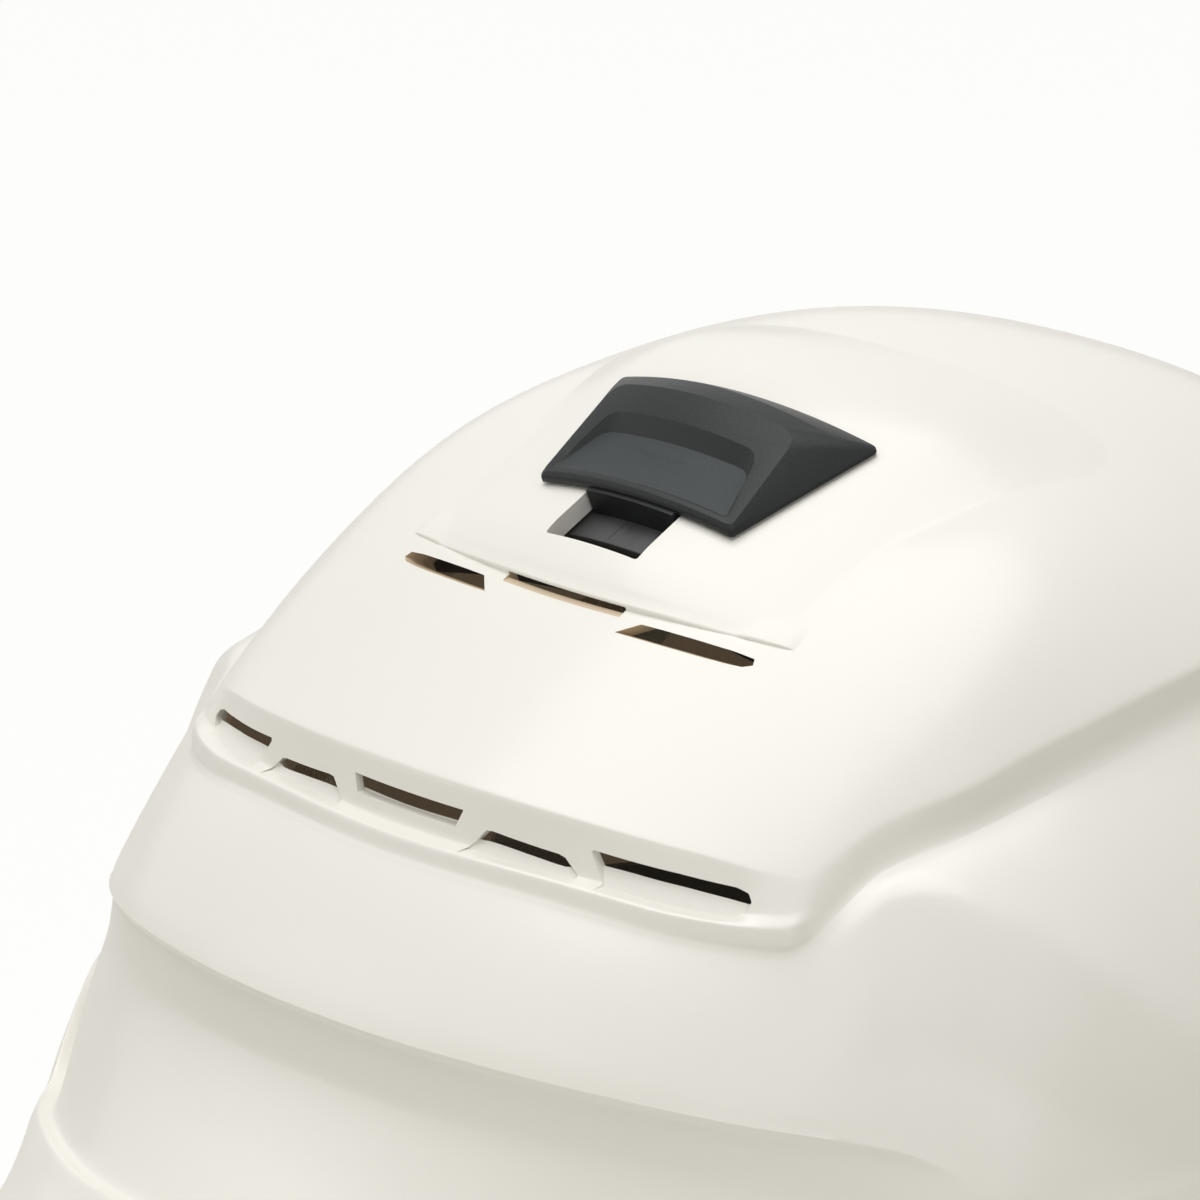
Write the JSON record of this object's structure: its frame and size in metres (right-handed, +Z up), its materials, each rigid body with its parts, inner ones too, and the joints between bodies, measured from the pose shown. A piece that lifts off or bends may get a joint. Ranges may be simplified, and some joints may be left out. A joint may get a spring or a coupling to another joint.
{
  "type": "safety helmet",
  "caption": "Vented hard-shell safety helmet with a short peak, a sliding crown vent and a webbing head harness with a nape ratchet.",
  "frame": {"origin": "middle of the helmet's box in plan, on the plane that the side rims and the nape housing stand on", "axes": "+X towards the wearer's left, -Y forwards over the peak, +Z up"},
  "size_m": [0.219, 0.2872, 0.1545],
  "materials": {
    "shell_white": "gloss injection-moulded white",
    "slider_grey": "fine-grained matte",
    "shutter_black": "matte",
    "steel": "plain zinc-plated",
    "webbing": "woven polyester",
    "harness_grey": "satin moulded",
    "sweatband_foam": "soft knitted foam",
    "nape_foam": "soft foam",
    "gear_grey": "smooth acetal",
    "knob_black": "grained rubbery plastic"
  },
  "bodies": {
    "base": {"shell": "shell_white", "strap_a": "webbing", "strap_b": "webbing", "strap_c": "webbing", "hanger_front_left": "harness_grey", "hanger_front_right": "harness_grey", "hanger_side_left": "harness_grey", "hanger_side_right": "harness_grey", "hanger_rear_left": "harness_grey", "hanger_rear_right": "harness_grey", "headband": "harness_grey", "sweatband": "sweatband_foam", "nape_arm_left": "harness_grey", "nape_arm_right": "harness_grey", "nape_pad": "nape_foam", "ratchet_base": "harness_grey", "ratchet_cover": "harness_grey"},
    "slider": {"slider_button": "slider_grey", "slider_carrier": "shutter_black", "shutter_plate": "shutter_black", "slider_screws": "steel"},
    "knob": {"ratchet_knob": "knob_black", "pinion": "gear_grey", "knob_screw": "steel"},
    "left_rack": {"rack_left": "gear_grey"},
    "right_rack": {"rack_right": "gear_grey"}
  },
  "joints": [
    {"name": "vent_slide", "type": "slide", "parent": "base", "child": "slider", "axis": [0, 0.91, 0.4147], "range_m": [-0.0085, 0]},
    {"name": "knob_turn", "type": "hinge", "parent": "base", "child": "knob", "pos_m": [0, 0.1, 0.017], "axis": [0, 1, 0], "range_deg": [-57, 57]},
    {"name": "left_rack_slide", "type": "slide", "parent": "base", "child": "left_rack", "axis": [1, 0, 0], "range_m": [-0.006, 0.006]},
    {"name": "right_rack_slide", "type": "slide", "parent": "base", "child": "right_rack", "axis": [-1, 0, 0], "range_m": [-0.006, 0.006]}
  ],
  "couplings": [
    {"joint": "left_rack_slide", "follows": "knob_turn", "m_per_rad": 0.006},
    {"joint": "right_rack_slide", "follows": "knob_turn", "m_per_rad": 0.006}
  ]
}
